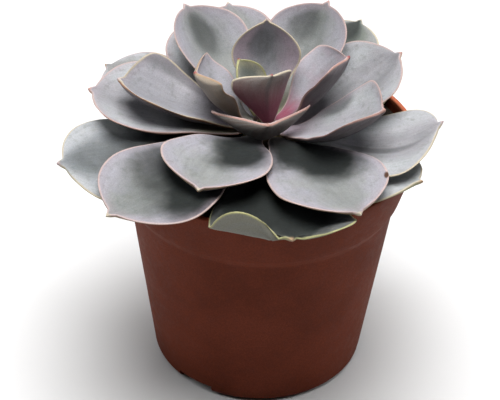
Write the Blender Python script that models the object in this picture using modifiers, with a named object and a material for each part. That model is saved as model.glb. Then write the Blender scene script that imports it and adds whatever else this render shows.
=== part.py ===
"""A potted echeveria: a rosette of fleshy leaves on a short stem, rooted in the soil of a 12 cm grower's pot.

Metres, +Z up. The origin is on the ground under the middle of the plant's outline, and -Y faces the viewer of the
photograph. Sizes below are in millimetres and degrees, measured from the pot's axis. A bearing is 0 towards the
viewer and grows to the viewer's right.
"""

import math
from collections import namedtuple

import bmesh
import bpy
from mathutils import Vector

MM = 0.001

# The rosette is lopsided, so the pot's axis stands a little off the middle of the outline.
AXIS_X = 4.5
AXIS_Y = -1.0

# The pot, turned round its axis.
POT_HEIGHT = 100
RIM_RADIUS = 60
LIP_WIDTH = 2
LIP_ROUND = 0.5
WALL = 1.4
COLLAR_BOTTOM = 79.3
COLLAR_RADIUS = 54.5
BODY_TOP = 75.6
BODY_RADIUS = 52.3
FOOT_RADIUS = 41.0
FOOT_WIDTH = 2.6
FOOT_ROUND = 3.2
HEEL_RADIUS = 42.9
RECESS = 4.0
FLOOR = 1.6
POT_STEPS = 72

# Drainage: notches under the wall, so that water runs out from beneath, and holes in the floor.
NOTCH_BEARINGS = (-35, 85, -155)
NOTCH_WIDTH = 16
NOTCH_HEIGHT = 3.8
NOTCH_DEPTH = 14
HOLE_COUNT = 6
HOLE_RING = 26
HOLE_RADIUS = 3.5

# The soil lies a little lower round the stem than at the wall.
SOIL_AT_WALL = 95.4
SOIL_AT_STEM = 92.8
GAP = 0.3

# The stem stands in a plain hole in the soil. Its crown is a cone that the leaves grow from.
CROWN_TOP = 107.5
CROWN_BOTTOM = 96.0
CROWN_TOP_RADIUS = 1.6
CROWN_BOTTOM_RADIUS = 9.5
STEM_RADIUS = 8.0
STEM_BOTTOM = 70.0
STEM_STEPS = 32

# Every leaf starts this far out from the crown's surface.
LEAF_START = 0.9
LEAF_ALONG = 12
LEAF_AROUND = 12
BLADE_END = 0.968
POINT_WIDTH = 0.10

# A leaf that folds or turns up gets more faces.
FINE_ALONG = 20
FINE_AROUND = 20

# A leaf that is folded into a trough opens again by this share towards its tip.
FOLD_FADE = 0.6

# Where the end of a leaf turns up, it bends along two lines that run from its tip back to its margins. They lie
# this many degrees off straight across, the bend is an arc of this radius, and the turned-up margins grow out
# into lobes by up to this much.
BEND_SLANT = 30
BEND_RADIUS = 3.0
BEND_LOBE = 8

# bearing, reach of the tip from the axis, height of the tip, half width, bow of the middle below the straight
# line from base to tip, and cup: the rise of the margins in degrees. Then twist in degrees, sideways bow, the
# place of the widest point as a share of the length, how far the whole leaf folds up into a trough, in degrees
# from its middle to a margin, and how far its end turns up to the left and right of the tip, in degrees.
Leaf = namedtuple(
    "Leaf",
    "bearing reach height half_width bow cup twist side_bow widest fold left_up right_up",
    defaults=(0, 0, 0.66, 0, 0, 0),
)

# From the heart outwards, which is also from the top of the crown down.
LEAVES = (
    Leaf(-60, 3, 117, 3, 0, 30),
    Leaf(120, 3, 119, 3.5, 0, 30),
    Leaf(-130, 14, 128, 8, 1, 30, widest=0.56),
    Leaf(20, 7, 131, 12, 2, 30, side_bow=-2.5, widest=0.84),
    Leaf(-179, 23, 138, 13.5, 5, 30),
    Leaf(-93, 27, 126, 17, 3, 10, 20, widest=0.90, fold=70),
    Leaf(112, 34, 128.5, 16.5, 4, 16, -25, widest=0.80, fold=62),
    Leaf(5, 17, 115.5, 19, 3, 28, 4, side_bow=-1.5),
    Leaf(-143, 56, 131, 16, 4.5, 25, side_bow=-1.2),
    Leaf(67, 48, 125, 20, 6, 23, widest=0.74),
    Leaf(-96, 57, 119, 17, 4.2, 28, widest=0.80),
    Leaf(154, 55, 132, 17, 5.5, 27, side_bow=1),
    Leaf(-23, 58, 110, 21, -0.3, 14, side_bow=-2),
    Leaf(29, 72, 109, 22, 0, 10.5),
    Leaf(115, 58, 124, 21, 6, 17, widest=0.70),
    Leaf(-165, 64, 123, 15.8, 3.7, 22.7),
    Leaf(-97.5, 69, 112, 22.8, 2.7, 14, widest=0.72),
    Leaf(87, 68, 111, 21, 2.6, 6, side_bow=-13, widest=0.74),
    Leaf(-42, 82, 103, 22, -2.1, 11, -9, side_bow=3, widest=0.70),
    Leaf(149, 75, 115.5, 18, 2.9, 10),
    Leaf(9, 71, 102, 25.9, -2.2, -5.7, side_bow=-2, widest=0.84, left_up=95, right_up=40),
    Leaf(-145.9, 64, 116.7, 14.8, 1.8, 5.6, 6),
    Leaf(173, 72, 104, 11, 1, 6),
    Leaf(-122, 77, 104, 18, 0.7, 6, -10, widest=0.70),
    Leaf(60, 68, 104, 19, 1.95, 3, -2, side_bow=-5, widest=0.74),
    Leaf(-156, 73, 103, 10, 0, 8),
    Leaf(-71, 81, 101, 26.5, -2.6, 3, -4, side_bow=7, widest=0.73),
    Leaf(129, 63, 102, 12, 0, 3, 6),
)

TERRACOTTA = (0.105, 0.032, 0.020, 1)
PEAT = (0.012, 0.010, 0.008, 1)
STEM_BROWN = (0.16, 0.13, 0.07, 1)
LEAF_YOUNG = (0.42, 0.30, 0.32, 1)
LEAF_OLD = (0.22, 0.25, 0.22, 1)


def clear_scene():
    for obj in list(bpy.data.objects):
        bpy.data.objects.remove(obj, do_unlink=True)


def new_collection(name):
    collection = bpy.data.collections.new(name)
    bpy.context.scene.collection.children.link(collection)
    return collection


def principled(name, colour, roughness):
    material = bpy.data.materials.new(name)
    material.use_nodes = True
    shader = material.node_tree.nodes["Principled BSDF"]
    shader.inputs["Base Color"].default_value = colour
    shader.inputs["Roughness"].default_value = roughness
    shader.inputs["Metallic"].default_value = 0
    return material


def add_object(name, mesh, collection, parent=None, material=None):
    obj = bpy.data.objects.new(name, mesh)
    obj.parent = parent
    if material:
        mesh.materials.append(material)
    collection.objects.link(obj)
    return obj


def turned(name, profile, steps, collection, parent, material):
    """The profile, (radius, height) pairs in mm that run down the outer side, turned round Z."""
    mesh = bpy.data.meshes.new(name)
    points = [(radius * MM, 0, height * MM) for radius, height in profile]
    edges = [(i, i + 1) for i in range(len(points) - 1)]
    mesh.from_pydata(points, edges, [])
    obj = add_object(name, mesh, collection, parent, material)
    screw = obj.modifiers.new("turn", "SCREW")
    screw.axis = "Z"
    screw.angle = math.tau
    screw.steps = steps
    screw.render_steps = steps
    screw.use_merge_vertices = True
    screw.merge_threshold = 0.00001
    screw.use_smooth_shade = True
    return obj


def arc(centre, radius, start, end, count):
    """Points on a circle from one angle to another, 0 outwards and 90 up."""
    turns = [math.radians(start + (end - start) * i / count) for i in range(count + 1)]
    return [(centre[0] + radius * math.cos(t), centre[1] + radius * math.sin(t)) for t in turns]


def inner_wall(gap):
    """The pot's inner wall from the floor up, moved in by a gap."""
    inset = WALL + gap
    return [
        (HEEL_RADIUS - inset, RECESS + FLOOR + gap),
        (BODY_RADIUS - inset, BODY_TOP),
        (COLLAR_RADIUS - inset, COLLAR_BOTTOM),
    ]


def radius_inside(height):
    """The radius of the collar's inner face at a height."""
    share = (height - COLLAR_BOTTOM) / (POT_HEIGHT - COLLAR_BOTTOM)
    return COLLAR_RADIUS + share * (RIM_RADIUS - COLLAR_RADIUS) - WALL


def pot_profile():
    lip_inner = RIM_RADIUS - LIP_WIDTH
    lip_top = POT_HEIGHT - LIP_ROUND
    lip = arc((lip_inner + LIP_ROUND, lip_top), LIP_ROUND, 180, 90, 2)
    lip += arc((RIM_RADIUS - LIP_ROUND, lip_top), LIP_ROUND, 90, 0, 2)
    heel = arc((HEEL_RADIUS - FOOT_ROUND, FOOT_ROUND), FOOT_ROUND, 0, -60, 3)
    return [
        (0, RECESS + FLOOR),
        *inner_wall(0),
        (radius_inside(97), 97),
        *lip,
        (COLLAR_RADIUS, COLLAR_BOTTOM),
        (BODY_RADIUS, BODY_TOP),
        *heel,
        (FOOT_RADIUS, 0),
        (FOOT_RADIUS - FOOT_WIDTH, 0),
        (FOOT_RADIUS - FOOT_WIDTH - 0.5, RECESS),
        (0, RECESS),
    ]


def soil_profile():
    hole = STEM_RADIUS + GAP
    wall = radius_inside(SOIL_AT_WALL) - GAP
    rings = 6
    surface = []
    for i in range(rings + 1):
        share = i / rings
        rise = (SOIL_AT_WALL - SOIL_AT_STEM) * share**2
        surface.append((hole + (wall - hole) * share, SOIL_AT_STEM + rise))
    return [
        (0, STEM_BOTTOM - GAP),
        (hole, STEM_BOTTOM - GAP),
        *surface,
        *reversed(inner_wall(GAP)),
        (0, RECESS + FLOOR + GAP),
    ]


def stem_profile():
    return [
        (0, CROWN_TOP + 0.3),
        (CROWN_TOP_RADIUS * 0.7, CROWN_TOP + 0.2),
        (CROWN_TOP_RADIUS, CROWN_TOP),
        (CROWN_BOTTOM_RADIUS, CROWN_BOTTOM),
        (CROWN_BOTTOM_RADIUS, CROWN_BOTTOM - 1.4),
        (STEM_RADIUS, CROWN_BOTTOM - 2.6),
        (STEM_RADIUS, STEM_BOTTOM + 6),
        (STEM_RADIUS * 0.6, STEM_BOTTOM + 1),
        (0, STEM_BOTTOM),
    ]


def cut(obj, cutter):
    cutter.hide_render = True
    cutter.display_type = "WIRE"
    boolean = obj.modifiers.new("cut " + cutter.name, "BOOLEAN")
    boolean.operation = "DIFFERENCE"
    boolean.object = cutter


def cut_drainage(pot, cutters):
    for i, bearing in enumerate(NOTCH_BEARINGS):
        mesh = bpy.data.meshes.new(f"notch_{i + 1}")
        bm = bmesh.new()
        bmesh.ops.create_cube(bm, size=1)
        size = Vector((NOTCH_WIDTH, NOTCH_DEPTH, 2 * NOTCH_HEIGHT)) * MM
        bmesh.ops.scale(bm, vec=size, verts=bm.verts)
        bm.to_mesh(mesh)
        bm.free()
        notch = add_object(mesh.name, mesh, cutters)
        turn = math.radians(bearing)
        notch.location = Vector((math.sin(turn), -math.cos(turn), 0)) * FOOT_RADIUS * MM
        notch.rotation_euler.z = turn
        cut(pot, notch)
    for i in range(HOLE_COUNT):
        mesh = bpy.data.meshes.new(f"drain_{i + 1}")
        bm = bmesh.new()
        radius = HOLE_RADIUS * MM
        depth = 4 * FLOOR * MM
        bmesh.ops.create_cone(bm, cap_ends=True, segments=16, radius1=radius, radius2=radius, depth=depth)
        bm.to_mesh(mesh)
        bm.free()
        drain = add_object(mesh.name, mesh, cutters)
        turn = math.tau * i / HOLE_COUNT
        height = RECESS + FLOOR / 2
        drain.location = Vector((HOLE_RING * math.sin(turn), -HOLE_RING * math.cos(turn), height)) * MM
        cut(pot, drain)


def ease(x):
    """0 to 1, slow at both ends."""
    x = min(max(x, 0), 1)
    return x * x * (3 - 2 * x)


def half_width(leaf, rank, along):
    """From a narrow neck to the widest place, then round to a short point."""
    neck = min(1.8 + 2.4 * rank, 0.6 * leaf.half_width)
    if along < leaf.widest:
        share = math.sin(math.pi / 2 * along / leaf.widest) ** 1.6
        width = neck + (leaf.half_width - neck) * share
    else:
        share = min((along - leaf.widest) / (BLADE_END - leaf.widest), 1)
        blade = (1 - share**2.2) ** 0.6
        point = POINT_WIDTH * min((1 - along) / (1 - BLADE_END), 1)
        width = leaf.half_width * max(blade, point)
    return width * min(along / 0.05, 1) ** 0.5


def thickness(leaf, rank, along):
    neck = 1.6 + 0.4 * rank
    belly = 1.8 + 0.08 * leaf.half_width
    end = 1.2 + 0.025 * leaf.half_width
    if along < 0.4:
        thick = neck + (belly - neck) * ease(along / 0.4)
    else:
        thick = belly + (end - belly) * ease((along - 0.4) / 0.6)
    return thick * min(along / 0.03, 1) ** 0.5 * min((1 - along) / 0.02, 1) ** 0.5


def base_of(rank):
    """(radius, height) where a leaf starts, just outside the crown's cone. Rank runs from 0 to 1."""
    radius = LEAF_START + CROWN_TOP_RADIUS + (CROWN_BOTTOM_RADIUS - CROWN_TOP_RADIUS) * rank
    return radius, CROWN_TOP + (CROWN_BOTTOM - CROWN_TOP) * rank


def folded(reach, full, half, fold):
    """Where a point goes as the leaf's width bends into an arc: (sideways, up)."""
    radius = max(full, 0.3) / fold
    turn = reach / radius
    return (radius - half) * math.sin(turn), radius - (radius - half) * math.cos(turn)


def turned_up(leaf, reach, full, left, half, most):
    """How a point moves where the end of its leaf turns up: (outwards from the bend, up). Reach is how far the
    point is from the middle line, full how far the margin is, and left how much of the length is still to come."""
    slant = math.radians(BEND_SLANT)
    beyond = reach * math.sin(slant) - left * math.cos(slant)
    if most == 0 or beyond <= 0:
        return 0, 0
    margin = max(full * math.sin(slant) - left * math.cos(slant), 0.3)
    lobe = BEND_LOBE * math.sin(math.pi * min(full / leaf.half_width, 1)) ** 0.6
    grown = beyond * (1 + lobe / margin)
    turn = min(grown / BEND_RADIUS, math.radians(most))
    rest = grown - BEND_RADIUS * turn
    out = (BEND_RADIUS - half) * math.sin(turn) + rest * math.cos(turn) - beyond
    return out, (BEND_RADIUS - half) * (1 - math.cos(turn)) + rest * math.sin(turn)


def leaf_point(leaf, rank, along, across, through):
    """A point of the leaf, which starts at 0,0,0 and grows to -Y. Across and through are on a unit circle."""
    radius, height = base_of(rank)
    side = Vector((1, 0, 0))
    chord = Vector((0, radius - leaf.reach, leaf.height - height))
    up = side.cross(-chord).normalized()
    sag = leaf.bow * 4 * along * (1 - along)
    sag_slope = leaf.bow * 4 * (1 - 2 * along)
    bend = leaf.side_bow * 6.75 * along**2 * (1 - along)
    bend_slope = leaf.side_bow * 6.75 * (2 * along - 3 * along**2)
    middle = chord * along - up * sag + side * bend
    ahead = (chord - up * sag_slope + side * bend_slope).normalized()
    face = side.cross(-ahead).normalized()
    twist = math.radians(leaf.twist) * along
    wide = side * math.cos(twist) + face * math.sin(twist)
    face = face * math.cos(twist) - side * math.sin(twist)
    opened = ease(along / 0.35)
    cup = math.radians(leaf.cup)
    width = half_width(leaf, rank, along)
    rise = math.tan(cup) * width * opened * abs(across) ** 1.6
    full = width * math.cos(cup * 0.35 * opened)
    reach = full * abs(across)
    thick = thickness(leaf, rank, along)
    half = thick / 2 * math.copysign(abs(through) ** 0.8, through)
    fold = math.radians(leaf.fold) * opened * (1 - FOLD_FADE * ease((along - 0.35) / 0.5))
    fold = min(fold, width / max(0.8 * thick, 0.1))
    if fold > 0:
        reach, half = folded(width * abs(across), width, half, fold)
    most = leaf.left_up if across < 0 else leaf.right_up
    out, lift = turned_up(leaf, reach, full, (1 - along) * chord.length, half, most)
    slant = math.radians(BEND_SLANT)
    sideways = math.copysign(reach + out * math.sin(slant), across)
    return middle + wide * sideways + ahead * out * math.cos(slant) + face * (rise + half + lift)


def leaf_mesh(name, leaf, rank):
    """A ball drawn out into the leaf: its poles are the base and the tip, its equator's ends the margins."""
    mesh = bpy.data.meshes.new(name)
    bm = bmesh.new()
    fine = leaf.fold or leaf.left_up
    around = FINE_AROUND if fine else LEAF_AROUND
    rings = FINE_ALONG if fine else LEAF_ALONG
    bmesh.ops.create_uvsphere(bm, u_segments=around, v_segments=rings, radius=1)
    for vert in bm.verts:
        along = (vert.co.z + 1) / 2
        ring = Vector((vert.co.x, vert.co.y))
        if ring.length < 0.001:
            across, through = 0, 0
            along = round(along)
        else:
            across, through = ring.normalized()
        vert.co = leaf_point(leaf, rank, along, across, through) * MM
    bm.to_mesh(mesh)
    bm.free()
    mesh.shade_smooth()
    return mesh


def blend(first, second, share):
    return tuple(a + (b - a) * share for a, b in zip(first, second))


def build():
    clear_scene()
    parts = new_collection("potted_echeveria")
    cutters = new_collection("potted_echeveria_cutters")
    axis = bpy.data.objects.new("potted_echeveria_axis", None)
    axis.location = Vector((AXIS_X, AXIS_Y, 0)) * MM
    parts.objects.link(axis)

    plastic = principled("terracotta_plastic", TERRACOTTA, 0.55)
    pot = turned("pot", pot_profile(), POT_STEPS, parts, axis, plastic)
    cut_drainage(pot, cutters)
    turned("soil", soil_profile(), POT_STEPS, parts, axis, principled("peat", PEAT, 0.95))
    turned("stem", stem_profile(), STEM_STEPS, parts, axis, principled("stem_bark", STEM_BROWN, 0.7))

    for i, leaf in enumerate(LEAVES):
        rank = i / (len(LEAVES) - 1)
        name = f"leaf_{i + 1:02d}"
        material = principled(name + "_skin", blend(LEAF_YOUNG, LEAF_OLD, rank), 0.6)
        obj = add_object(name, leaf_mesh(name, leaf, rank), parts, axis, material)
        radius, height = base_of(rank)
        turn = math.radians(leaf.bearing)
        obj.location = Vector((radius * math.sin(turn), -radius * math.cos(turn), height)) * MM
        obj.rotation_euler.z = turn


build()
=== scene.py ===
"""The potted echeveria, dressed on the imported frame: fine leaves, pot and soil, their materials, a floor,
soft studio light and the camera.

Metres in the scene. Leaf and pot sizes are in millimetres and degrees, as in the part's source, and are
measured from the pot's axis. A bearing is 0 towards the camera and grows to the camera's right.
"""

import math
import random
from collections import namedtuple

import bmesh
import bpy
import numpy as np
from mathutils import Matrix, Vector, noise


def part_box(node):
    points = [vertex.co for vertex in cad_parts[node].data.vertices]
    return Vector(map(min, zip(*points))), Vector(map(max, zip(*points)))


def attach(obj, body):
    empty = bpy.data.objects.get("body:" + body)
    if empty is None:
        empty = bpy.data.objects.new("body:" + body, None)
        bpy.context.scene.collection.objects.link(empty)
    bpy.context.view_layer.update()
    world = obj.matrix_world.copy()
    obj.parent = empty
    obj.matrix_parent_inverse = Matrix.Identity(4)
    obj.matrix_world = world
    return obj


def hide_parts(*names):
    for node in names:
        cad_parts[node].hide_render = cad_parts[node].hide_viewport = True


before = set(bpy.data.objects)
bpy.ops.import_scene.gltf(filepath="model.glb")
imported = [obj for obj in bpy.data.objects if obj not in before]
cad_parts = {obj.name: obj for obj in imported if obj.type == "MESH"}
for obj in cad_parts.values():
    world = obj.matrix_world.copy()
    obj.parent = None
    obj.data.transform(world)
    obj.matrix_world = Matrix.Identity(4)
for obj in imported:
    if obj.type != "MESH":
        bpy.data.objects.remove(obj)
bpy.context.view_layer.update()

MM = 0.001

POT_LOW, POT_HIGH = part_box("pot")
AXIS = Vector(((POT_LOW.x + POT_HIGH.x) / 2, (POT_LOW.y + POT_HIGH.y) / 2, 0))

# The camera, from the pot's axis: metres and radians.
CAMERA_PLACE = (0, -0.514, 0.440)
CAMERA_DOWN = 0.626
CAMERA_TURN = 0.009
CAMERA_LEAN = math.radians(1.66)
CAMERA_LENS = 115.2
CAMERA_SENSOR = 36

# The pot, turned round its axis.
POT_HEIGHT = 100
RIM_RADIUS = 60
LIP_WIDTH = 2
LIP_ROUND = 0.7
WALL = 1.4
COLLAR_BOTTOM = 79.3
COLLAR_RADIUS = 54.5
BODY_TOP = 75.6
BODY_RADIUS = 52.3
FOOT_RADIUS = 41.0
FOOT_WIDTH = 2.6
FOOT_ROUND = 3.2
HEEL_RADIUS = 42.9
RECESS = 4.0
FLOOR = 1.6
POT_STEPS = 240
COLLAR_INNER_TOP = 97
COLLAR_ROWS = 9
WALL_ROWS = 24
SHARP_ANGLE = 40
NOTCH_BEARINGS = (-35, 85, -155)
NOTCH_WIDTH = 16
NOTCH_HEIGHT = 3.8
NOTCH_DEPTH = 14
HOLE_COUNT = 6
HOLE_RING = 26
HOLE_RADIUS = 3.5

SOIL_AT_WALL = 95.4
SOIL_AT_STEM = 92.8
SOIL_GAP = 0.3
SOIL_STEPS = 144
SOIL_RINGS = 36
CRUMBS = 420
CRUMB_SIZES = (0.4, 1.5)
CRUMB_STRETCH = (0.6, 1.25)
CRUMB_ORDER = 5

CROWN_TOP = 107.5
CROWN_BOTTOM = 96.0
CROWN_TOP_RADIUS = 1.6
CROWN_BOTTOM_RADIUS = 9.5
STEM_RADIUS = 8.0
STEM_BOTTOM = 70.0

# Leaf form, the same as in the part's source.
LEAF_START = 0.9
BLADE_END = 0.968
POINT_WIDTH = 0.10
FOLD_FADE = 0.6
BEND_SLANT = 30
BEND_RADIUS = 3.0
BEND_LOBE = 8
LEAF_ALONG = 84
LEAF_AROUND = 64
TINY = 1e-9

# How far the leaf's skin leaves its plain form, in millimetres, and how wide its keel and its dents are.
MARGIN_WAVE = 0.28
KEEL = 0.45
KEEL_WIDTH = 3.2
DENTS = 0.30
DENT_SIZE = 9.0

# bearing, reach of the tip from the axis, height of the tip, half width, bow of the middle below the
# straight line from base to tip, and cup: the rise of the margins in degrees. Then twist in degrees, sideways
# bow, the place of the widest point as a share of the length, how far the whole leaf folds up into a trough,
# in degrees from its middle to a margin, and how far its end turns up to the left and to the right of the
# tip, in degrees.
Leaf = namedtuple(
    "Leaf",
    "bearing reach height half_width bow cup twist side_bow widest fold left_up right_up",
    defaults=(0, 0, 0.66, 0, 0, 0),
)

# From the heart outwards, which is also from the top of the crown down.
LEAVES = (
    Leaf(-60, 3, 117, 3, 0, 30),
    Leaf(120, 3, 119, 3.5, 0, 30),
    Leaf(-130, 14, 128, 8, 1, 30, widest=0.56),
    Leaf(20, 7, 131, 12, 2, 30, side_bow=-2.5, widest=0.84),
    Leaf(-179, 23, 138, 13.5, 5, 30),
    Leaf(-93, 27, 126, 17, 3, 10, 20, widest=0.90, fold=70),
    Leaf(112, 34, 128.5, 16.5, 4, 16, -25, widest=0.80, fold=62),
    Leaf(5, 17, 115.5, 19, 3, 28, 4, side_bow=-1.5),
    Leaf(-143, 56, 131, 16, 4.5, 25, side_bow=-1.2),
    Leaf(67, 48, 125, 20, 6, 23, widest=0.74),
    Leaf(-96, 57, 119, 17, 4.2, 28, widest=0.80),
    Leaf(154, 55, 132, 17, 5.5, 27, side_bow=1),
    Leaf(-23, 58, 110, 21, -0.3, 14, side_bow=-2),
    Leaf(29, 72, 109, 22, 0, 10.5),
    Leaf(115, 58, 124, 21, 6, 17, widest=0.70),
    Leaf(-165, 64, 123, 15.8, 3.7, 22.7),
    Leaf(-97.5, 69, 112, 22.8, 2.7, 14, widest=0.72),
    Leaf(87, 68, 111, 21, 2.6, 6, side_bow=-13, widest=0.74),
    Leaf(-42, 82, 103, 22, -2.1, 11, -9, side_bow=3, widest=0.70),
    Leaf(149, 75, 115.5, 18, 2.9, 10),
    Leaf(9, 71, 102, 25.9, -2.2, -5.7, side_bow=-2, widest=0.84, left_up=95, right_up=40),
    Leaf(-145.9, 64, 116.7, 14.8, 1.8, 5.6, 6),
    Leaf(173, 72, 104, 11, 1, 6),
    Leaf(-122, 77, 104, 18, 0.7, 6, -10, widest=0.70),
    Leaf(60, 68, 104, 19, 1.95, 3, -2, side_bow=-5, widest=0.74),
    Leaf(-156, 73, 103, 10, 0, 8),
    Leaf(-71, 81, 101, 26.5, -2.6, 3, -4, side_bow=7, widest=0.73),
    Leaf(129, 63, 102, 12, 0, 3, 6),
)

# Colours as they look in full light, 0 to 255.
LILAC = (169, 168, 175)
MAUVE = (170, 156, 166)
BLUE_GREY = (168, 172, 177)
GREY = (158, 160, 159)
GREEN_GREY = (152, 156, 153)
SAGE = (128, 134, 126)
DARK_SAGE = (88, 95, 92)
OLIVE = (100, 108, 84)
DARK_OLIVE = (186, 168, 148)
DUSKY_OLIVE = (118, 106, 100)
PLUM = (172, 116, 134)
WINE = (168, 62, 94)
DUSK = (116, 104, 108)
CREAM = (212, 200, 176)
PALE_PINK = (206, 184, 181)
SALMON = (196, 154, 142)
TAN = (190, 160, 126)
ORANGE = (198, 138, 98)
LIME = (186, 184, 134)
RED = (164, 88, 90)
BROWN = (92, 62, 44)
# Dark skin, also the painted shade in hollows, at leaf bases and under other leaves.
DARK_SKIN_AND_SHADE = (38, 42, 40)
ROSE = (214, 92, 124)
PALE = (182, 180, 186)
FROST = (190, 193, 196)
DUN = (150, 148, 132)
STRAW = (190, 186, 152)

# What a leaf's skin shows: the upper face outside and along the middle, how much of a dark patch lies in its
# middle, partly skin with little bloom and partly painted shade, the underside, the line along the margin
# seen from above and from below, the base, which on the outer front leaves is a dark colour that paints the
# shade at their bases, how strong the blush beside the margin is, and the colour of the tip. Then the blush's
# colour, and how far up the underside the colour of the base reaches.
Skin = namedtuple(
    "Skin",
    "outer centre patch under margin lower_margin base blush tip tint flush",
    defaults=(MAUVE, 0.5),
)

SKINS = (
    Skin(SAGE, SAGE, 0.2, SAGE, LIME, LIME, WINE, 0.3, RED),
    Skin(SAGE, SAGE, 0.2, SAGE, LIME, LIME, WINE, 0.3, RED),
    Skin(GREY, SAGE, 0.1, SAGE, LIME, LIME, WINE, 1.0, RED, STRAW),
    Skin(MAUVE, PLUM, 0.3, DUSKY_OLIVE, CREAM, CREAM, ROSE, 0.3, RED, MAUVE, 1.0),
    Skin(MAUVE, LILAC, 0.5, DUSK, CREAM, TAN, MAUVE, 0.6, PALE_PINK),
    Skin(LILAC, LILAC, 0.2, DARK_OLIVE, PALE_PINK, TAN, DUN, 0.3, RED),
    Skin(LILAC, MAUVE, 0.2, DUSK, PALE_PINK, SALMON, WINE, 0.5, RED),
    Skin(LILAC, MAUVE, 0.2, DUSKY_OLIVE, PALE_PINK, SALMON, DUSK, 0.5, SALMON),
    Skin(LILAC, GREY, 0.5, DUSK, PALE_PINK, TAN, LILAC, 0.6, PALE_PINK),
    Skin(FROST, PALE, 0.2, DUSK, PALE_PINK, SALMON, MAUVE, 0.6, SALMON),
    Skin(PALE, LILAC, 0.2, DUSK, CREAM, ORANGE, MAUVE, 0.4, PALE_PINK),
    Skin(LILAC, GREY, 0.5, DUSK, PALE_PINK, SALMON, STRAW, 0.6, SALMON),
    Skin(LILAC, GREY, 0.2, DUSK, PALE_PINK, TAN, DARK_SKIN_AND_SHADE, 0.4, CREAM),
    Skin(LILAC, GREY, 0.3, DUSK, PALE_PINK, TAN, DARK_SKIN_AND_SHADE, 0.5, CREAM),
    Skin(FROST, PALE, 0.5, DUSK, PALE_PINK, TAN, MAUVE, 0.3, SALMON),
    Skin(LILAC, GREY, 0.2, OLIVE, PALE_PINK, TAN, SAGE, 0.4, CREAM),
    Skin(FROST, PALE, 0.3, OLIVE, PALE_PINK, ORANGE, STRAW, 0.5, SALMON),
    Skin(FROST, PALE, 0.4, OLIVE, CREAM, CREAM, SAGE, 0.2, PALE_PINK),
    Skin(LILAC, GREY, 0.5, OLIVE, PALE_PINK, TAN, DARK_SKIN_AND_SHADE, 0.4, CREAM),
    Skin(GREY, SAGE, 0.8, OLIVE, CREAM, LIME, SAGE, 0.0, CREAM),
    Skin(GREY, SAGE, 0.5, DUN, LIME, LIME, DARK_SKIN_AND_SHADE, 0.0, TAN),
    Skin(FROST, PALE, 0.1, DUSK, PALE_PINK, SALMON, MAUVE, 0.6, PALE_PINK),
    Skin(GREY, SAGE, 0.3, OLIVE, STRAW, LIME, STRAW, 0.0, TAN),
    Skin(FROST, GREY, 0.3, OLIVE, PALE_PINK, LIME, SAGE, 0.2, TAN),
    Skin(FROST, FROST, 0.3, GREY, CREAM, LIME, SAGE, 0.0, TAN),
    Skin(GREY, SAGE, 0.3, OLIVE, STRAW, LIME, STRAW, 0.0, TAN),
    Skin(FROST, BLUE_GREY, 0.6, OLIVE, CREAM, LIME, DARK_SKIN_AND_SHADE, 0.0, PALE_PINK),
    Skin(GREY, OLIVE, 0.3, OLIVE, STRAW, LIME, STRAW, 0.0, TAN),
)

# A spot on the upper face: its place along and across the leaf, its reach both ways from there, and how
# strong it is.
Spot = namedtuple("Spot", "along across long wide strength")

# Dark spots on the upper faces, by the leaf's number: partly skin where the bloom is thin, partly painted
# shade in the leaves' hollows and painted shadows where other leaves lie above.
HOLLOW_SKIN_AND_SHADE = {
    5: (Spot(0.76, 0.20, 0.18, 0.45, 0.35),),
    9: (Spot(0.76, -0.02, 0.20, 0.40, 0.6),),
    10: (
        Spot(0.46, 0.80, 0.18, 0.35, 0.6),
        Spot(0.05, 0.0, 0.20, 1.3, 0.8),
    ),
    11: (
        Spot(0.55, -0.90, 0.40, 0.25, 0.5),
        Spot(0.05, 0.0, 0.20, 1.3, 0.8),
    ),
    12: (Spot(0.80, 0.30, 0.16, 0.42, 0.5),),
    13: (
        Spot(0.42, 0.30, 0.30, 0.75, 1.0),
        Spot(0.15, 0.3, 0.38, 1.5, 1.0),
    ),
    14: (
        Spot(0.41, 0.36, 0.30, 0.85, 1.0),
        Spot(0.15, 0.1, 0.38, 1.6, 1.0),
    ),
    17: (Spot(0.15, 0.4, 0.36, 0.9, 0.8),),
    18: (Spot(0.60, -0.15, 0.30, 0.12, 0.4),),
    19: (
        Spot(0.50, 0.70, 0.40, 0.95, 1.0),
        Spot(0.45, -0.2, 0.36, 0.9, 0.8),
        Spot(0.1, 0.0, 0.4, 1.6, 1.0),
    ),
    20: (Spot(0.90, 0.15, 0.14, 0.5, 0.8),),
    21: (
        Spot(0.58, 0.2, 0.60, 1.8, 1.0),
        Spot(0.2, 0.0, 0.4, 1.8, 1.0),
    ),
    27: (
        Spot(0.74, -0.15, 0.24, 0.5, 0.4),
        Spot(0.26, 0.2, 0.48, 1.4, 1.0),
    ),
}

# Small brown scars, by the leaf's number.
SCARS = {
    14: (Spot(0.79, 0.95, 0.030, 0.060, 1.0),),
    27: (
        Spot(0.70, 0.10, 0.016, 0.035, 0.6),
        Spot(0.80, 0.25, 0.012, 0.03, 0.5),
    ),
}

# How strongly the skin reflects a colour that looks like this in full light.
LEAF_GAIN = 0.55

# Spots keep their strength up to a share of their reach and fade out by another. The noise adds a blur.
SPOT_CORE = 0.8
HOLLOW_SHADE_FADE = 1.45
HOLLOW_SHADE_BLUR = 0.6
SCAR_FADE = 1.4
SCAR_BLUR = 0.5

# How much shows through where the bloom is thin, how wide the blush and the margin line are in millimetres,
# where the tip's colour starts along the leaf, and how close the faint lines lie across and along it.
THIN_BLOOM = 0.38
BLUSH_WIDTH = 4.5
MARGIN_LINE = (0.40, 1.0)
TIP_START = (0.975, 0.995)
STREAKS_ACROSS = 0.55
STREAKS_ALONG = 2.2

# The other materials' colours, as the shaders take them.
PLASTIC_DARK = (0.094, 0.0185, 0.0075, 1)
PLASTIC_LIGHT = (0.120, 0.0250, 0.0110, 1)
PLASTIC_DUSTY = (0.148, 0.037, 0.018, 1)
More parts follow.
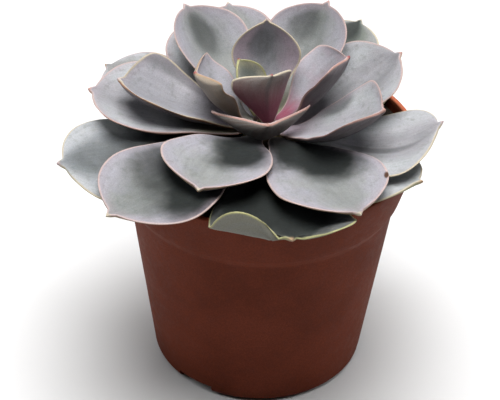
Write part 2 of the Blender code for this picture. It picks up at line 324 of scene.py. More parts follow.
# The lip's painted highlight, where the light would catch it.
PLASTIC_LIP_HIGHLIGHT = (0.40, 0.115, 0.06, 1)
PEAT_DARK = (0.006, 0.005, 0.004, 1)
PEAT_LIGHT = (0.034, 0.024, 0.016, 1)
PEAT_DAMP = (0.02, 0.013, 0.009, 1)
BARK_DARK = (0.10, 0.085, 0.045, 1)
BARK_LIGHT = (0.22, 0.17, 0.10, 1)
BARK_GREEN = (0.09, 0.12, 0.05, 1)

# Where the lip's painted highlight sets in: heights, and places from the middle of the pot towards its back.
LIP_HIGHLIGHT_HEIGHTS = (97.5, 99.6)
LIP_HIGHLIGHT_PLACES = (-15.0, 25.0)

# How far the studio floor reaches, and how far it lies under the part, in metres.
FLOOR_REACH = 6
FLOOR_GAP = 0.0002

# Soft lights: where each stands, how wide it is, its power in watts and its colour. All aim at one place.
Lamp = namedtuple("Lamp", "name place size power colour")

LAMPS = (
    Lamp("overhead", (0.0, 0.0, 1.0), 0.8, 16.5, (1.0, 0.99, 0.985)),
    Lamp("left_fill", (-1.0, 0.15, 0.65), 0.6, 5, (0.97, 0.98, 1.0)),
    Lamp("right_fill", (1.0, 0.15, 0.65), 0.6, 5, (0.97, 0.98, 1.0)),
)
LAMP_TARGET = (0, 0, 0.08)

# A wide, even light from straight above, which keeps the far floor pale.
CEILING_STRENGTH = 1.6
CEILING_ANGLE = 50
AIR_COLOUR = (0.95, 0.97, 1.0, 1)
AIR_STRENGTH = 0.03


# Shapes.


def ease(x):
    """0 to 1, slow at both ends."""
    x = min(max(x, 0), 1)
    return x * x * (3 - 2 * x)


def half_width(leaf, rank, along):
    """From a narrow neck to the widest place, then round to a short point."""
    full = leaf.half_width
    widest = leaf.widest
    neck = min(1.8 + 2.4 * rank, 0.6 * full)
    if along < widest:
        share = math.sin(math.pi / 2 * along / widest) ** 1.6
        width = neck + (full - neck) * share
    else:
        share = min((along - widest) / (BLADE_END - widest), 1)
        blade = (1 - share**2.2) ** 0.6
        point = POINT_WIDTH * min((1 - along) / (1 - BLADE_END), 1)
        width = full * max(blade, point)
    return width * min(along / 0.05, 1) ** 0.5


def thickness(leaf, rank, along):
    neck = 1.6 + 0.4 * rank
    belly = 1.8 + 0.08 * leaf.half_width
    end = 1.2 + 0.025 * leaf.half_width
    if along < 0.4:
        thick = neck + (belly - neck) * ease(along / 0.4)
    else:
        thick = belly + (end - belly) * ease((along - 0.4) / 0.6)
    return thick * min(along / 0.03, 1) ** 0.5 * min(max(1 - along, 0) / 0.02, 1) ** 0.5


def base_of(rank):
    """(radius, height) where a leaf starts, just outside the crown's cone. Rank runs from 0 to 1."""
    radius = LEAF_START + CROWN_TOP_RADIUS + (CROWN_BOTTOM_RADIUS - CROWN_TOP_RADIUS) * rank
    return radius, CROWN_TOP + (CROWN_BOTTOM - CROWN_TOP) * rank


def unit(vector):
    return vector / np.linalg.norm(vector)


def centre_line(leaf, rank, along):
    """The leaf's middle at one place, counted from where it starts, the directions ahead, to its side and out
    of its upper face there, and the straight length from base to tip."""
    radius, height = base_of(rank)
    side = np.array((1.0, 0, 0))
    chord = np.array((0, radius - leaf.reach, leaf.height - height))
    up = unit(np.cross(side, -chord))
    # 4 and 6.75 bring the peaks of the two bows to 1.
    sag = leaf.bow * 4 * along * (1 - along)
    sag_slope = leaf.bow * 4 * (1 - 2 * along)
    bend = leaf.side_bow * 6.75 * along**2 * (1 - along)
    bend_slope = leaf.side_bow * 6.75 * (2 * along - 3 * along**2)
    middle = chord * along - up * sag + side * bend
    ahead = unit(chord - up * sag_slope + side * bend_slope)
    face = unit(np.cross(side, -ahead))
    twist = math.radians(leaf.twist) * along
    wide = side * math.cos(twist) + face * math.sin(twist)
    face = face * math.cos(twist) - side * math.sin(twist)
    return middle, ahead, wide, face, np.linalg.norm(chord)


def skin_relief(leaf, along, across, through, width, opened, phase):
    """A soft wave along the margins, and a keel under the leaf towards its tip, in millimetres."""
    size = leaf.half_width / 20
    sides = np.where(across > 0, 1.0, 1.7)
    wave = MARGIN_WAVE * size * np.abs(across) ** 3 * np.sin(along * 11 * sides + phase * sides) * opened
    spread = np.exp(-((across * width / KEEL_WIDTH) ** 2))
    keel = KEEL * size * spread * ease((along - 0.35) / 0.3) * ease((1 - along) / 0.15)
    return wave - keel * np.clip(-through, 0, 1)


def folded(leaf, along, out, width, thick, opened, reach, half):
    """Reach and height of a ring's points once the leaf folds into a trough, an arc across its width."""
    fold = math.radians(leaf.fold) * opened * (1 - FOLD_FADE * ease((along - 0.35) / 0.5))
    fold = min(fold, width / max(0.8 * thick, 0.1))
    if fold <= 0:
        return reach, half
    radius = max(width, 0.3) / fold
    turn = width * out / radius
    return (radius - half) * np.sin(turn), radius - (radius - half) * np.cos(turn)


def turned_up(leaf, along, across, length, full, reach, half):
    """How far the turned-up end moves a ring's points and lifts them. It lies beyond two lines that run back
    from the tip, and its margins grow out into lobes."""
    slant = math.radians(BEND_SLANT)
    left = (1 - along) * length * math.cos(slant)
    most = np.radians(np.where(across < 0, leaf.left_up, leaf.right_up))
    beyond = np.maximum(reach * math.sin(slant) - left, 0)
    lobe = BEND_LOBE * math.sin(math.pi * min(full / leaf.half_width, 1)) ** 0.6
    grown = beyond * (1 + lobe / max(full * math.sin(slant) - left, 0.3) * np.where(most > 0, 1, 0))
    turn = np.minimum(grown / BEND_RADIUS, most)
    rest = grown - BEND_RADIUS * turn
    moved = (BEND_RADIUS - half) * np.sin(turn) + rest * np.cos(turn) - beyond
    lift = (BEND_RADIUS - half) * (1 - np.cos(turn)) + rest * np.sin(turn)
    return np.where(beyond > 0, moved, 0), np.where(beyond > 0, lift, 0)


def leaf_ring(leaf, rank, along, across, through, phase):
    """The leaf's points at one place along it, with where it starts at 0,0,0 and its tip towards -Y."""
    middle, ahead, wide, face, length = centre_line(leaf, rank, along)
    opened = ease(along / 0.35)
    cup = math.radians(leaf.cup)
    width = half_width(leaf, rank, along)
    out = np.abs(across)
    rise = math.tan(cup) * width * opened * out**1.6
    full = width * math.cos(cup * 0.35 * opened)
    thick = thickness(leaf, rank, along)
    half = thick / 2 * np.sign(through) * np.abs(through) ** 0.8
    half = half + skin_relief(leaf, along, across, through, width, opened, phase)
    reach, half = folded(leaf, along, out, width, thick, opened, full * out, half)
    moved, lift = turned_up(leaf, along, across, length, full, reach, half)

    slant = math.radians(BEND_SLANT)
    points = middle + np.outer(np.sign(across) * (reach + moved * math.sin(slant)), wide)
    return points + np.outer(moved * math.cos(slant), ahead) + np.outer(rise + half + lift, face)


def new_object(name, data):
    obj = bpy.data.objects.new(name, data)
    bpy.context.scene.collection.objects.link(obj)
    return obj


def margin_distance(points, rings):
    """How far each point of a leaf is from the line along its margins, in millimetres."""
    grid = points[1:-1].reshape(rings, LEAF_AROUND, 3)
    line = np.concatenate((grid[2:, 0], points[-1:], grid[:1:-1, LEAF_AROUND // 2]))
    shares = np.arange(4)[:, None, None] / 4
    line = (line[:-1] * (1 - shares) + line[1:] * shares).reshape(-1, 3)
    return np.linalg.norm(points[:, None] - line[None], axis=2).min(axis=1)


def store(mesh, name, values):
    attribute = mesh.attributes.new(name, "FLOAT", "POINT")
    attribute.data.foreach_set("value", np.asarray(values, np.float32))


def leaf_points(index, leaf, rings, across, through):
    """A leaf's start, its rings and its tip, in millimetres from the pot's axis."""
    rank = index / (len(LEAVES) - 1)
    phase = index * 1.9
    found = [leaf_ring(leaf, rank, along, across, through, phase) for along in rings]
    tip = leaf_ring(leaf, rank, 1.0, np.zeros(1), np.zeros(1), phase)
    points = np.concatenate([np.zeros((1, 3)), *found, tip])
    radius, height = base_of(rank)
    turn = math.radians(leaf.bearing)
    spin = np.array(Matrix.Rotation(turn, 3, "Z"))
    base = np.array((radius * math.sin(turn), -radius * math.cos(turn), height))
    return points @ spin.T + base


def leaf_faces(rings):
    """The faces between a leaf's rings, and those round its start and its tip."""
    faces = []
    last = 1 + rings * LEAF_AROUND
    for j in range(LEAF_AROUND):
        k = (j + 1) % LEAF_AROUND
        faces.append((0, 1 + k, 1 + j))
        for i in range(rings - 1):
            low = 1 + i * LEAF_AROUND
            high = low + LEAF_AROUND
            faces.append((low + j, low + k, high + k, high + j))
        low = 1 + (rings - 1) * LEAF_AROUND
        faces.append((low + j, low + k, last))
    return faces


def dent(index, points, normals, alongs):
    """The points pushed along their normals by broad, shallow dents that fade out at base and tip."""
    fade = np.minimum(alongs / 0.2, 1) * np.minimum((1 - alongs) / 0.08, 1)
    offset = Vector((index * 37.0, 0, 0))
    pushes = np.array([DENTS * noise.noise((Vector(point) + offset) / DENT_SIZE) for point in points])
    return points + normals * (pushes * fade)[:, None]


def leaf_object(index, leaf, material):
    """One leaf as a closed skin, with what its material needs to know of each place: how far along the leaf
    it is, how far across, how many millimetres from the margin, and which face it is on."""
    rings = [(1 - math.cos(math.pi * i / LEAF_ALONG)) / 2 for i in range(1, LEAF_ALONG)]
    angles = np.arange(LEAF_AROUND) * math.tau / LEAF_AROUND
    across = np.cos(angles)
    through = np.sin(angles)
    across[np.abs(across) < TINY] = 0
    through[np.abs(through) < TINY] = 0
    points = leaf_points(index, leaf, rings, across, through)

    mesh = bpy.data.meshes.new(f"echeveria_leaf_{index + 1:02d}")
    mesh.from_pydata((points * MM + np.array(AXIS)).tolist(), [], leaf_faces(len(rings)))
    mesh.update()
    normals = np.array([vert.normal for vert in mesh.vertices])
    alongs = np.concatenate(([0], np.repeat(rings, LEAF_AROUND), [1]))
    points = dent(index, points, normals, alongs)
    mesh.vertices.foreach_set("co", (points * MM + np.array(AXIS)).astype(np.float32).ravel())

    store(mesh, "edge", margin_distance(points, len(rings)))
    store(mesh, "along", alongs)
    store(mesh, "across", np.concatenate(([0], np.tile(across, len(rings)), [0])))
    store(mesh, "upper", np.concatenate(([0], np.tile(through, len(rings)), [0])))
    mesh.shade_smooth()
    mesh.materials.append(material)
    mesh.update()
    obj = new_object(mesh.name, mesh)
    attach(obj, "root")
    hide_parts(f"leaf_{index + 1:02d}")
    return obj


def arc(centre, radius, start, end, count):
    """Points on a circle from one angle to another, 0 outwards and 90 up."""
    turns = [math.radians(start + (end - start) * i / count) for i in range(count + 1)]
    return [(centre[0] + radius * math.cos(t), centre[1] + radius * math.sin(t)) for t in turns]


def turned(name, profile, steps):
    """A closed mesh: the profile, (radius, height) pairs from the axis round to the axis, turned round Z."""
    bm = bmesh.new()
    rings = []
    for radius, height in profile:
        if radius == 0:
            rings.append([bm.verts.new(AXIS + Vector((0, 0, height * MM)))])
            continue
        ring = []
        for i in range(steps):
            turn = math.tau * i / steps
            place = Vector((radius * math.sin(turn), -radius * math.cos(turn), height)) * MM
            ring.append(bm.verts.new(AXIS + place))
        rings.append(ring)
    for first, second in zip(rings, rings[1:]):
        for i in range(steps):
            j = (i + 1) % steps
            corners = []
            for ring, k in ((first, i), (first, j), (second, j), (second, i)):
                vert = ring[k % len(ring)]
                if vert not in corners:
                    corners.append(vert)
            bm.faces.new(corners)
    bmesh.ops.recalc_face_normals(bm, faces=bm.faces)
    mesh = bpy.data.meshes.new(name)
    bm.to_mesh(mesh)
    bm.free()
    mesh.shade_smooth()
    return new_object(name, mesh)


def inner_wall(gap):
    """The pot's inner wall from the floor up, moved in by a gap."""
    inset = WALL + gap
    return [
        (HEEL_RADIUS - inset, RECESS + FLOOR + gap),
        (BODY_RADIUS - inset, BODY_TOP),
        (COLLAR_RADIUS - inset, COLLAR_BOTTOM),
    ]


def radius_inside(height):
    """The radius of the collar's inner face at a height."""
    share = (height - COLLAR_BOTTOM) / (POT_HEIGHT - COLLAR_BOTTOM)
    return COLLAR_RADIUS + share * (RIM_RADIUS - COLLAR_RADIUS) - WALL


def steps_between(start, end, count):
    """The places that split a straight line into so many equal pieces, without its ends."""
    shares = [i / count for i in range(1, count)]
    return [(start[0] + (end[0] - start[0]) * s, start[1] + (end[1] - start[1]) * s) for s in shares]


def pot_profile():
    """From the middle of the floor up the inside, over the lip, down the outside and in under the foot."""
    lip_inner = RIM_RADIUS - LIP_WIDTH
    lip_top = POT_HEIGHT - LIP_ROUND
    lip = arc((lip_inner + LIP_ROUND, lip_top), LIP_ROUND, 180, 90, 6)
    lip += arc((RIM_RADIUS - LIP_ROUND, lip_top), LIP_ROUND, 90, 0, 6)
    heel = arc((HEEL_RADIUS - FOOT_ROUND, FOOT_ROUND), FOOT_ROUND, 0, -60, 8)
    step = 0.5
    collar = steps_between((RIM_RADIUS, lip_top), (COLLAR_RADIUS, COLLAR_BOTTOM), COLLAR_ROWS)
    wall = steps_between((BODY_RADIUS, BODY_TOP), (HEEL_RADIUS, FOOT_ROUND), WALL_ROWS)
    return [
        (0, RECESS + FLOOR),
        *inner_wall(0),
        (radius_inside(COLLAR_INNER_TOP), COLLAR_INNER_TOP),
        *lip,
        *collar,
        (COLLAR_RADIUS + 0.13, COLLAR_BOTTOM + step),
        (COLLAR_RADIUS - 0.1, COLLAR_BOTTOM),
        (COLLAR_RADIUS - step, COLLAR_BOTTOM - 0.55),
        (BODY_RADIUS + 0.45, BODY_TOP + 0.75),
        (BODY_RADIUS + 0.08, BODY_TOP + 0.2),
        (BODY_RADIUS - 0.06, BODY_TOP - 0.6),
        *wall,
        *heel,
        (FOOT_RADIUS, 0),
        (FOOT_RADIUS - FOOT_WIDTH, 0),
        (FOOT_RADIUS - FOOT_WIDTH - 0.5, RECESS),
        (0, RECESS),
    ]


def cutter(name, bearing, distance, height, size, round_steps=0):
    """A box, or a cylinder where it has steps, that is cut out of the pot and then removed."""
    bm = bmesh.new()
    if round_steps:
        bmesh.ops.create_cone(bm, cap_ends=True, segments=round_steps, radius1=0.5, radius2=0.5, depth=1)
    else:
        bmesh.ops.create_cube(bm, size=1)
    bmesh.ops.scale(bm, vec=Vector(size) * MM, verts=bm.verts)
    turn = math.radians(bearing)
    bmesh.ops.rotate(bm, cent=(0, 0, 0), matrix=Matrix.Rotation(turn, 3, "Z"), verts=bm.verts)
    place = Vector((distance * math.sin(turn), -distance * math.cos(turn), height)) * MM
    bmesh.ops.translate(bm, vec=AXIS + place, verts=bm.verts)
    mesh = bpy.data.meshes.new(name)
    bm.to_mesh(mesh)
    bm.free()
    return new_object(name, mesh)


def cut_drainage(pot):
    """The notches under the wall and the holes in the floor."""
    cutters = []
    for bearing in NOTCH_BEARINGS:
        size = (NOTCH_WIDTH, NOTCH_DEPTH, 2 * NOTCH_HEIGHT)
        cutters.append(cutter("notch_cutter", bearing, FOOT_RADIUS, 0, size))
    for i in range(HOLE_COUNT):
        size = (2 * HOLE_RADIUS, 2 * HOLE_RADIUS, 4 * FLOOR)
        bearing = 360 * i / HOLE_COUNT
        cutters.append(cutter("drain_cutter", bearing, HOLE_RING, RECESS + FLOOR / 2, size, 32))
    for tool in cutters:
        boolean = pot.modifiers.new("cut", "BOOLEAN")
        boolean.operation = "DIFFERENCE"
        boolean.object = tool
    graph = bpy.context.evaluated_depsgraph_get()
    mesh = bpy.data.meshes.new_from_object(pot.evaluated_get(graph))
    pot.modifiers.clear()
    pot.data = mesh
    for tool in cutters:
        bpy.data.objects.remove(tool, do_unlink=True)


def make_pot(material):
    pot = turned("echeveria_pot", pot_profile(), POT_STEPS)
    cut_drainage(pot)
    pot.data.materials.append(material)
    pot.data.shade_smooth()
    pot.data.set_sharp_from_angle(angle=math.radians(SHARP_ANGLE))
    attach(pot, "root")
    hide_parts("pot")
    return pot


def soil_height(x, y):
    """The soil's surface at a place, in millimetres: a shallow bowl with lumps."""
    radius = math.hypot(x, y)
    hole = STEM_RADIUS + SOIL_GAP
    wall = radius_inside(SOIL_AT_WALL) - SOIL_GAP
    share = min(max((radius - hole) / (wall - hole), 0), 1)
    bowl = SOIL_AT_STEM + (SOIL_AT_WALL - SOIL_AT_STEM) * share**2
    lumps = 1.1 * noise.noise(Vector((x, y, 3)) / 7) + 0.7 * noise.noise(Vector((x, y, 8)) / 2.6)
    edge = min((1 - share) / 0.06, 1)
    return bowl + lumps * edge


def make_soil(material):
    """The surface with its lumps, closed below by a plain body, and crumbs half sunk into it."""
    hole = STEM_RADIUS + SOIL_GAP
    wall = radius_inside(SOIL_AT_WALL) - SOIL_GAP
    # The surface's points start at height 0, which marks them for soil_height.
    surface = [(hole + (wall - hole) * i / SOIL_RINGS, 0) for i in range(SOIL_RINGS + 1)]
    profile = [
        (0, STEM_BOTTOM - SOIL_GAP),
        (hole, STEM_BOTTOM - SOIL_GAP),
        *surface,
        *reversed(inner_wall(SOIL_GAP)),
        (0, RECESS + FLOOR + SOIL_GAP),
    ]
    soil = turned("echeveria_soil", profile, SOIL_STEPS)
    bm = bmesh.new()
    bm.from_mesh(soil.data)
    for vert in bm.verts:
        if vert.co.z == 0:
            place = (vert.co - AXIS) / MM
            vert.co.z = soil_height(place.x, place.y) * MM
    chance = random.Random(CRUMB_ORDER)
    for _ in range(CRUMBS):
        turn = chance.uniform(0, math.tau)
        radius = math.sqrt(chance.uniform((hole + 2) ** 2, (wall - 2) ** 2))
        x, y = radius * math.sin(turn), -radius * math.cos(turn)
        size = chance.uniform(*CRUMB_SIZES)
        made = bmesh.ops.create_icosphere(bm, subdivisions=1, radius=size * MM)
        stretch = [chance.uniform(*CRUMB_STRETCH) for _ in range(3)]
        tumble = Matrix.Rotation(chance.uniform(0, math.tau), 3, "Z")
        tumble = tumble @ Matrix.Rotation(chance.uniform(0, 3), 3, "X")
        centre = AXIS + Vector((x, y, soil_height(x, y) + 0.2 * size)) * MM
        for vert in made["verts"]:
            bump = 1 + 0.3 * noise.noise(vert.co / MM * 1.3 + Vector((x, y, 0)))
            scaled = Vector([vert.co[k] * stretch[k] * bump for k in range(3)])
            vert.co = centre + tumble @ scaled
    bm.normal_update()
    bm.to_mesh(soil.data)
    bm.free()
    soil.data.materials.append(material)
    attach(soil, "root")
    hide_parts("soil")
    return soil


# Materials.


def linear(colour, gain=1.0):
    """A 0 to 255 colour as the shader's linear one."""
    shares = [channel / 255 for channel in colour]
    values = [s / 12.92 if s <= 0.04045 else ((s + 0.055) / 1.055) ** 2.4 for s in shares]
    return (*[value * gain for value in values], 1)


def leaf_colour(colour, gain=1.0):
    return linear(colour, LEAF_GAIN * gain)


# What a leaf's material reads at each place: millimetres from the margin, shares along and across the leaf,
# the share from its middle line outwards, three sizes of noise and faint lines along it.
Place = namedtuple("Place", "edge along across out broad cloud grain streaks")


class Graph:
    """Short calls that build one material's nodes."""

    def __init__(self, name):
        self.material = bpy.data.materials.new(name)
        self.material.use_nodes = True
        self.tree = self.material.node_tree
        self.shader = self.tree.nodes["Principled BSDF"]

    def set(self, socket, value):
        if isinstance(value, bpy.types.NodeSocket):
            self.tree.links.new(value, socket)
        else:
            socket.default_value = value

    def finish(self, **values):
        for name, value in values.items():
            self.set(self.shader.inputs[name.replace("_", " ")], value)

    def attribute(self, name):
        node = self.tree.nodes.new("ShaderNodeAttribute")
        node.attribute_name = name
        return node.outputs["Fac"]

    def place(self, shift=0.0):
        """The object's own coordinates in millimetres, moved so that no two leaves share a pattern."""
        coordinates = self.tree.nodes.new("ShaderNodeTexCoord")
        mapping = self.tree.nodes.new("ShaderNodeMapping")
        mapping.inputs["Scale"].default_value = (1 / MM, 1 / MM, 1 / MM)
        mapping.inputs["Location"].default_value = (shift, 0, 0)
        self.tree.links.new(coordinates.outputs["Object"], mapping.inputs["Vector"])
        return mapping.outputs["Vector"]

    def distance(self, along, across, spot):
        """How far a place on the leaf is from a spot, where 1 is the spot's own reach."""
        one = self.math("DIVIDE", self.minus(along, spot.along), spot.long)
        two = self.math("DIVIDE", self.minus(across, spot.across), spot.wide)
        return self.math("SQRT", self.plus(self.times(one, one), self.times(two, two)))

    def split(self, vector, axis):
        node = self.tree.nodes.new("ShaderNodeSeparateXYZ")
        self.tree.links.new(vector, node.inputs[0])
        return node.outputs[axis]

    def noise(self, vector, size, detail=2.0, rough=0.5):
        """Cloudy noise, 0 to 1, with features of about this size."""
        node = self.tree.nodes.new("ShaderNodeTexNoise")
        self.set(node.inputs["Vector"], vector)
        node.inputs["Scale"].default_value = 1 / size
        node.inputs["Detail"].default_value = detail
        node.inputs["Roughness"].default_value = rough
        return node.outputs["Fac"]

    def math(self, operation, first, second=0.0):
        node = self.tree.nodes.new("ShaderNodeMath")
        node.operation = operation
        self.set(node.inputs[0], first)
        self.set(node.inputs[1], second)
        return node.outputs[0]

    def plus(self, first, second):
        return self.math("ADD", first, second)

    def minus(self, first, second):
        return self.math("SUBTRACT", first, second)

    def times(self, first, second):
        return self.math("MULTIPLY", first, second)

    def vector(self, x, y, z):
        node = self.tree.nodes.new("ShaderNodeCombineXYZ")
        for socket, value in zip(node.inputs, (x, y, z)):
            self.set(socket, value)
        return node.outputs[0]

    def step(self, value, low, high, start=0.0, end=1.0):
        """From start where the value is low to end where it is high."""
        node = self.tree.nodes.new("ShaderNodeMapRange")
        node.interpolation_type = "SMOOTHSTEP"
        self.set(node.inputs["Value"], value)
        node.inputs["From Min"].default_value = low
        node.inputs["From Max"].default_value = high
        node.inputs["To Min"].default_value = start
        node.inputs["To Max"].default_value = end
        return node.outputs["Result"]

    def mix(self, share, first, second, blend="MIX"):
        node = self.tree.nodes.new("ShaderNodeMix")
        node.data_type = "RGBA"
        node.blend_type = blend
        self.set(node.inputs[0], share)
        self.set(node.inputs[6], first)
        self.set(node.inputs[7], second)
        return node.outputs[2]

    def shaded(self, colour, shade):
        """The colour times a shade."""
        return self.mix(1.0, colour, self.vector(shade, shade, shade), "MULTIPLY")

    def bump(self, height, strength, distance, before=None):
        node = self.tree.nodes.new("ShaderNodeBump")
        node.inputs["Strength"].default_value = strength
        node.inputs["Distance"].default_value = distance
        self.set(node.inputs["Height"], height)
        if before:
            self.set(node.inputs["Normal"], before)
        return node.outputs["Normal"]


def leaf_place(graph, index, leaf):
    """What a leaf's material reads at each place."""
    place = graph.place(index * 41.0)
    along = graph.attribute("along")
    across = graph.attribute("across")
    wide = graph.times(across, leaf.half_width * STREAKS_ACROSS)
    lines = graph.vector(wide, graph.times(along, STREAKS_ALONG), index * 3.7)
    return Place(
        edge=graph.attribute("edge"),
        along=along,
        across=across,
        out=graph.math("ABSOLUTE", across),
        broad=graph.noise(place, 11, 3, 0.55),
        cloud=graph.noise(place, 2.6, 4, 0.6),
        grain=graph.noise(place, 0.45, 3, 0.6),
        streaks=graph.noise(lines, 1.0, 3, 0.55),
    )


def spot_share(graph, at, spot, blur, fade):
    """How much of a spot's colour shows at a place: all up to SPOT_CORE of its reach, none from fade on."""
    far = graph.plus(graph.distance(at.along, at.across, spot), blur)
    return graph.step(far, SPOT_CORE, fade, spot.strength, 0.0)


def upper_colour(graph, at, index, skin):
    """Bluish or lilac outside, greener along the middle, mottled where the bloom is thin; dark skin and
    painted shade in the middle, the hollows and towards the base.
    """
    mottle = graph.plus(at.out, graph.times(graph.minus(at.broad, 0.5), 1.6))
    colour = graph.mix(graph.step(mottle, 0.15, 0.85), leaf_colour(skin.centre), leaf_colour(skin.outer))
    colour = graph.mix(graph.step(at.cloud, 0.50, 0.72, 0.0, THIN_BLOOM), colour, leaf_colour(SAGE, 0.8))
    # A dark middle: partly skin with little bloom, partly painted shade on the leaf's steep or sunken middle.
    middle = graph.times(graph.step(at.out, 0.1, 0.75, 1.0, 0.0), graph.step(at.along, 0.3, 0.6))
    patch = graph.times(graph.times(middle, graph.step(at.broad, 0.3, 0.6, 0.5, 1.0)), skin.patch)
    colour = graph.mix(patch, colour, leaf_colour(DARK_SAGE))
    # Dark spots: partly skin with thin bloom, partly painted shade and painted shadows of the leaves above.
    for shade_spot in HOLLOW_SKIN_AND_SHADE.get(index + 1, ()):
        share = spot_share(graph, at, shade_spot, graph.times(at.broad, HOLLOW_SHADE_BLUR), HOLLOW_SHADE_FADE)
        colour = graph.mix(share, colour, leaf_colour(DARK_SKIN_AND_SHADE))
    beside = graph.step(at.edge, 0.3, BLUSH_WIDTH, 1.0, 0.0)
    blush = graph.times(beside, graph.step(at.cloud, 0.2, 0.8, 0.3, 1.0))
    colour = graph.mix(graph.times(blush, skin.blush), colour, leaf_colour(skin.tint, 1.1))
    # Streaks of the base colour towards the base: wine or rose on some leaves, painted shade on the outer
    # front leaves.
    near = graph.step(at.along, 0.10, 0.42, 1.0, 0.0)
    deep = graph.times(near, graph.step(at.streaks, 0.2, 0.7, 0.45, 1.0))
    return graph.mix(deep, colour, leaf_colour(skin.base, 0.8))


def under_colour(graph, at, skin):
    """Less bloom than above, faint lines along the leaf and a dark line down its keel."""
    lines = graph.step(at.streaks, 0.3, 0.7, 0.0, 0.5)
    colour = graph.mix(lines, leaf_colour(skin.under), leaf_colour(GREEN_GREY, 0.7))
    # The base colour up the underside, painted shade on the outer front leaves.
    base = graph.step(at.along, skin.flush * 0.3, skin.flush, 0.8, 0.0)
    colour = graph.mix(base, colour, leaf_colour(skin.base, 0.6))
    keel = graph.times(graph.step(at.out, 0.02, 0.14, 0.35, 0.0), graph.step(at.along, 0.3, 0.6))
    return graph.mix(keel, colour, leaf_colour(DARK_SAGE, 0.5))


def leaf_material(index, leaf, skin):
    graph = Graph(f"echeveria_leaf_{index + 1:02d}")
    at = leaf_place(graph, index, leaf)
    top = upper_colour(graph, at, index, skin)
    below = under_colour(graph, at, skin)

    # The thin line along the margin, a little uneven, and any scars.
    jitter = graph.plus(at.edge, graph.times(graph.minus(at.cloud, 0.5), 0.4))
    line = graph.step(jitter, *MARGIN_LINE, 1.0, 0.0)
    top = graph.mix(line, top, leaf_colour(skin.margin, 0.97))
    below = graph.mix(line, below, leaf_colour(skin.lower_margin))
    for scar in SCARS.get(index + 1, ()):
        share = spot_share(graph, at, scar, graph.times(at.cloud, SCAR_BLUR), SCAR_FADE)
        top = graph.mix(share, top, leaf_colour(BROWN, 0.8))

    colour = graph.mix(graph.step(graph.attribute("upper"), -0.25, 0.25), below, top)
    colour = graph.mix(graph.step(at.along, *TIP_START), colour, leaf_colour(skin.tip))
    speck = graph.step(at.grain, 0.25, 0.75, 0.87, 1.13)
    veins = graph.step(at.streaks, 0.25, 0.75, 0.93, 1.07)
    colour = graph.shaded(colour, graph.times(speck, veins))

    relief = graph.bump(at.grain, 0.25, 0.12 * MM)
    relief = graph.bump(at.cloud, 0.35, 0.35 * MM, relief)
    graph.finish(
        Base_Color=colour,
        Roughness=graph.step(at.cloud, 0.3, 0.75, 0.62, 0.48),
        Normal=relief,
        Specular_IOR_Level=0.3,
        Subsurface_Weight=0.08,
        Subsurface_Radius=(1.0, 0.7, 0.4),
        Subsurface_Scale=1.2 * MM,
        Sheen_Weight=0.06,
        Sheen_Roughness=0.5,
        Sheen_Tint=(0.9, 0.88, 1.0, 1),
    )
    return graph.material


def plastic_material():
    """Moulded plastic, faintly cloudy, with a fine grain and a painted highlight on the lip, strongest at the
    back.
    """
    graph = Graph("terracotta_plastic")
    place = graph.place()
    broad = graph.noise(place, 26, 3, 0.5)
    cloud = graph.noise(place, 3.2, 5, 0.65)
    grain = graph.noise(place, 0.55, 2, 0.5)
    colour = graph.mix(graph.step(broad, 0.3, 0.7), PLASTIC_DARK, PLASTIC_LIGHT)
    colour = graph.mix(graph.step(cloud, 0.45, 0.75, 0.0, 0.3), colour, PLASTIC_DUSTY)
    colour = graph.shaded(colour, graph.step(grain, 0.25, 0.75, 0.84, 1.16))
    # A painted highlight on the top of the lip, fading out towards the front of the pot.
    lip = graph.step(graph.split(place, 2), *LIP_HIGHLIGHT_HEIGHTS)
    back = graph.step(graph.split(place, 1), *LIP_HIGHLIGHT_PLACES)
    colour = graph.mix(graph.times(lip, back), colour, PLASTIC_LIP_HIGHLIGHT)
    relief = graph.bump(grain, 0.5, 0.1 * MM)
    relief = graph.bump(broad, 0.3, 0.8 * MM, relief)
    rough = graph.step(cloud, 0.3, 0.7, 0.6, 0.75)
    graph.finish(Base_Color=colour, Roughness=rough, Normal=relief, Specular_IOR_Level=0.08)
    return graph.material


def peat_material():
    graph = Graph("echeveria_peat")
    place = graph.place()
    cloud = graph.noise(place, 1.6, 5, 0.7)
    broad = graph.noise(place, 9, 2, 0.5)
    colour = graph.mix(graph.step(cloud, 0.35, 0.7), PEAT_DARK, PEAT_LIGHT)
    colour = graph.mix(graph.step(broad, 0.45, 0.8, 0.0, 0.5), colour, PEAT_DAMP)
    relief = graph.bump(cloud, 0.8, 0.6 * MM)
    graph.finish(Base_Color=colour, Roughness=graph.step(cloud, 0.3, 0.7, 0.98, 0.85), Normal=relief)
    return graph.material


def bark_material():
    graph = Graph("echeveria_bark")
    place = graph.place()
    cloud = graph.noise(place, 1.8, 4, 0.6)
    wave = graph.noise(place, 4.5, 2, 0.5)
    colour = graph.mix(graph.step(cloud, 0.35, 0.7), BARK_DARK, BARK_LIGHT)
    colour = graph.mix(graph.step(wave, 0.5, 0.75, 0.0, 0.6), colour, BARK_GREEN)
    relief = graph.bump(cloud, 0.7, 0.8 * MM)
    graph.finish(Base_Color=colour, Roughness=graph.step(wave, 0.3, 0.7, 0.7, 0.85), Normal=relief)
    return graph.material


def floor_material():
    graph = Graph("studio_floor")
    cloud = graph.noise(graph.place(), 60, 2, 0.5)
    colour = graph.mix(cloud, (0.54, 0.54, 0.54, 1), (0.56, 0.56, 0.56, 1))
    graph.finish(Base_Color=colour, Roughness=0.9)
    return graph.material


# Studio.


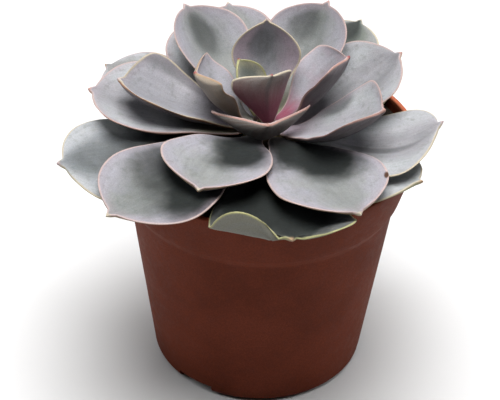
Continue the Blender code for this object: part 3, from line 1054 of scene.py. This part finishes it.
def make_camera():
    data = bpy.data.cameras.new("camera")
    data.lens = CAMERA_LENS
    data.sensor_width = CAMERA_SENSOR
    data.sensor_fit = "HORIZONTAL"
    data.clip_start = 0.01
    data.clip_end = 20
    camera = new_object("camera", data)
    turn = Matrix.Rotation(CAMERA_TURN, 4, "Z")
    tilt = Matrix.Rotation(math.pi / 2 - CAMERA_DOWN, 4, "X")
    lean = Matrix.Rotation(CAMERA_LEAN, 4, "Z")
    camera.matrix_world = Matrix.Translation(AXIS + Vector(CAMERA_PLACE)) @ turn @ tilt @ lean
    bpy.context.scene.camera = camera


def make_floor():
    bm = bmesh.new()
    bmesh.ops.create_grid(bm, x_segments=2, y_segments=2, size=FLOOR_REACH)
    mesh = bpy.data.meshes.new("studio_floor")
    bm.to_mesh(mesh)
    bm.free()
    floor = new_object("studio_floor", mesh)
    floor.location.z = -FLOOR_GAP
    mesh.materials.append(floor_material())


def soft_light(lamp):
    data = bpy.data.lights.new(lamp.name, "AREA")
    data.shape = "DISK"
    data.size = lamp.size
    data.energy = lamp.power
    data.color = lamp.colour
    light = new_object(lamp.name, data)
    aim = Vector(LAMP_TARGET) - Vector(lamp.place)
    light.matrix_world = Matrix.Translation(lamp.place) @ aim.to_track_quat("-Z", "Y").to_matrix().to_4x4()
    light.visible_camera = False
    light.visible_glossy = False


def make_light():
    for lamp in LAMPS:
        soft_light(lamp)
    ceiling = bpy.data.lights.new("ceiling", "SUN")
    ceiling.energy = CEILING_STRENGTH
    ceiling.angle = math.radians(CEILING_ANGLE)
    new_object("ceiling", ceiling)

    world = bpy.data.worlds.new("studio")
    world.use_nodes = True
    background = world.node_tree.nodes["Background"]
    background.inputs["Color"].default_value = AIR_COLOUR
    background.inputs["Strength"].default_value = AIR_STRENGTH
    bpy.context.scene.world = world
    bpy.context.scene.view_settings.view_transform = "Standard"
    bpy.context.scene.view_settings.look = "None"


def build():
    make_camera()
    make_floor()
    make_light()
    for index, (leaf, skin) in enumerate(zip(LEAVES, SKINS)):
        leaf_object(index, leaf, leaf_material(index, leaf, skin))
    make_pot(plastic_material())
    make_soil(peat_material())
    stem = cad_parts["stem"]
    stem.data.materials.clear()
    stem.data.materials.append(bark_material())


build()
